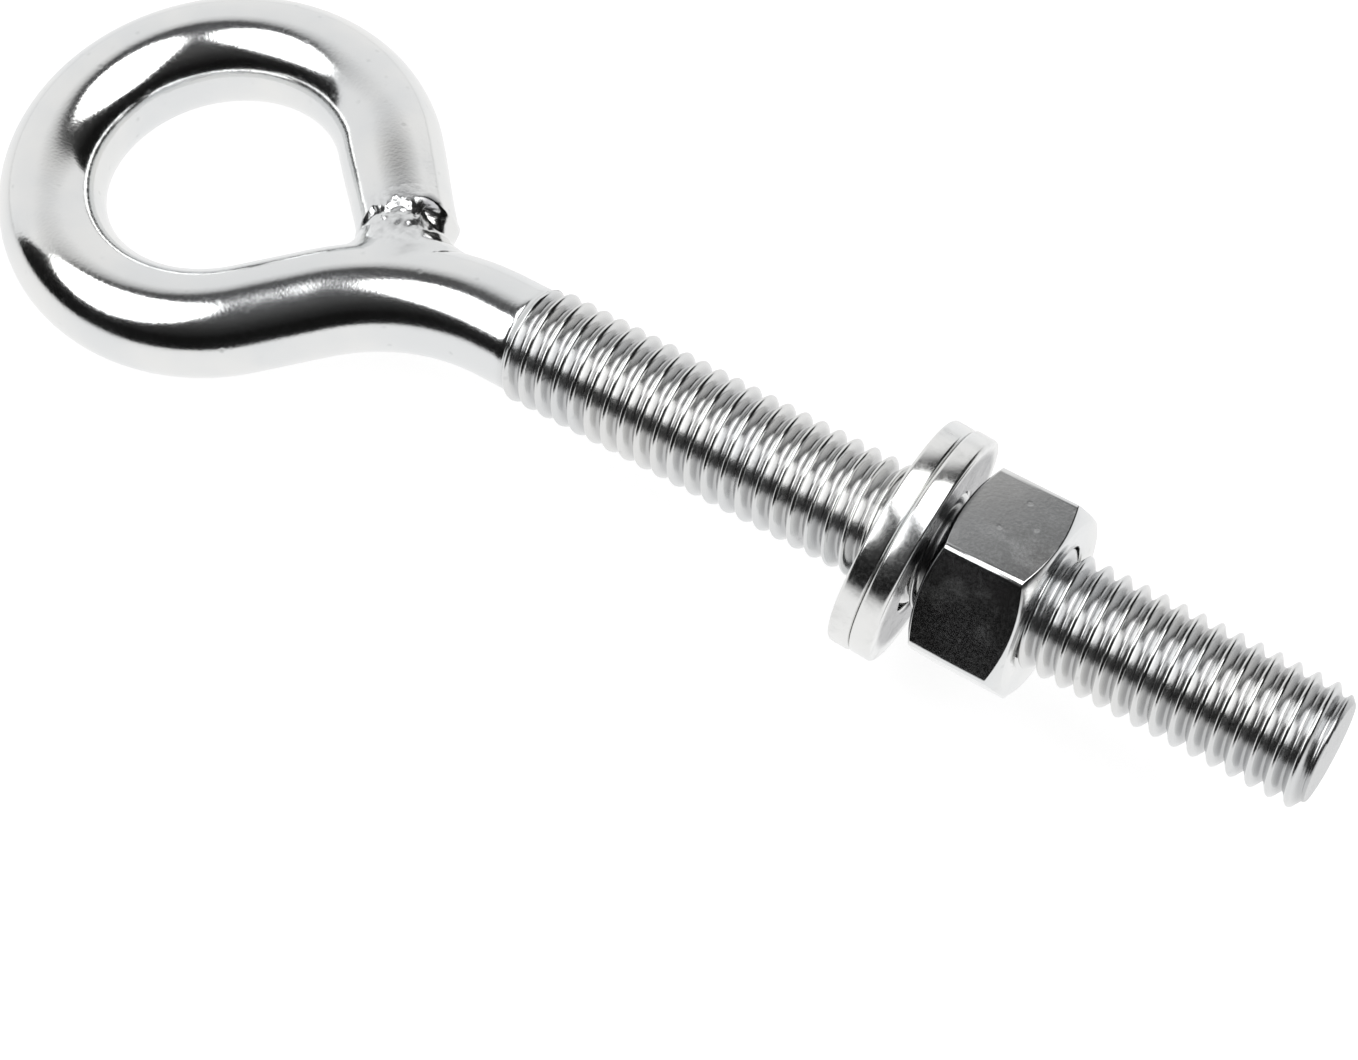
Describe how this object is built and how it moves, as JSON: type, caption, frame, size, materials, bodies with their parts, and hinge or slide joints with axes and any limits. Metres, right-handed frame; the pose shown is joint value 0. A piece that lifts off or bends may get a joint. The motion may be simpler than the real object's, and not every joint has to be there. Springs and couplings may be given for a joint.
{
  "type": "eye bolt",
  "caption": "Welded eye bolt: a round rod bent into a closed ring on a threaded shank, with a hex nut and flat washers, for fixing a hook, shackle or rope.",
  "frame": {"origin": "centre of the eye, in the middle plane of the rod", "axes": "+X along the shank from the eye to the thread end, +Z square to the plane of the eye, +Y towards the side of the ring whose tail is welded on"},
  "size_m": [0.0967, 0.03, 0.0156],
  "materials": {
    "rod_steel": "bright polished stainless steel",
    "weld_steel": "ground weld, lightly rough",
    "washer_steel": "bright stamped stainless steel",
    "nut_steel": "bright cold-formed stainless steel"
  },
  "bodies": {
    "bolt": {"eye_rod": "rod_steel", "weld_bead": "weld_steel"},
    "nut_side_washer": {"washer_nut_side": "washer_steel"},
    "nut": {"hex_nut": "nut_steel"},
    "eye_side_washer": {"washer_eye_side": "washer_steel"}
  },
  "joints": [
    {"name": "nut_travel", "type": "slide", "parent": "bolt", "child": "nut_side_washer", "axis": [1, 0, 0], "range_m": [-0.03, 0.0185]},
    {"name": "nut_spin", "type": "hinge", "parent": "nut_side_washer", "child": "nut", "pos_m": [0.06, 0, 0], "axis": [1, 0, 0], "range_deg": [-8640.5, 5328.5]},
    {"name": "washer_play", "type": "slide", "parent": "nut_side_washer", "child": "eye_side_washer", "axis": [1, 0, 0], "range_m": [-0.001, 0]}
  ],
  "couplings": [
    {"joint": "nut_spin", "follows": "nut_travel", "rad_per_m": 5026.5}
  ]
}
